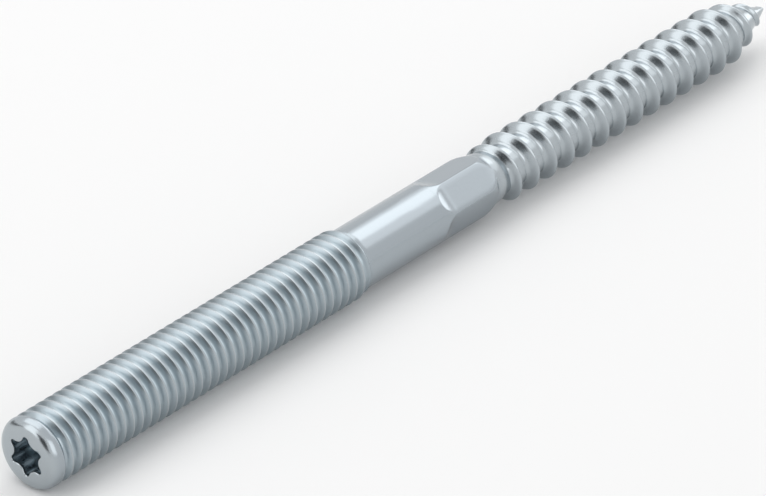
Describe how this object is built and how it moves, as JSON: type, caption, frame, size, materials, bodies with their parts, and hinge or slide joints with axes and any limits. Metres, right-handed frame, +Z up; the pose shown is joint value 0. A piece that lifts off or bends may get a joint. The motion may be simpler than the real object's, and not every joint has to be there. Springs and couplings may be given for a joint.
{
  "type": "hanger bolt",
  "caption": "Headless hanger bolt: machine thread with a six-lobe recess at one end, wrench flats and a neck, then a coarse wood thread running to a gimlet point.",
  "frame": {"origin": "centre of the bounding box in plan, at the bottom of the machine thread, on the surface the bolt lies on", "axes": "+X along the bolt from the drive end to the gimlet point, +Z up"},
  "size_m": [0.12, 0.0078, 0.0079],
  "materials": {
    "zinc_plated_steel": "bright zinc plating, satin, faintly blue"
  },
  "bodies": {
    "root": {"hanger_bolt": "zinc_plated_steel"}
  },
  "joints": []
}
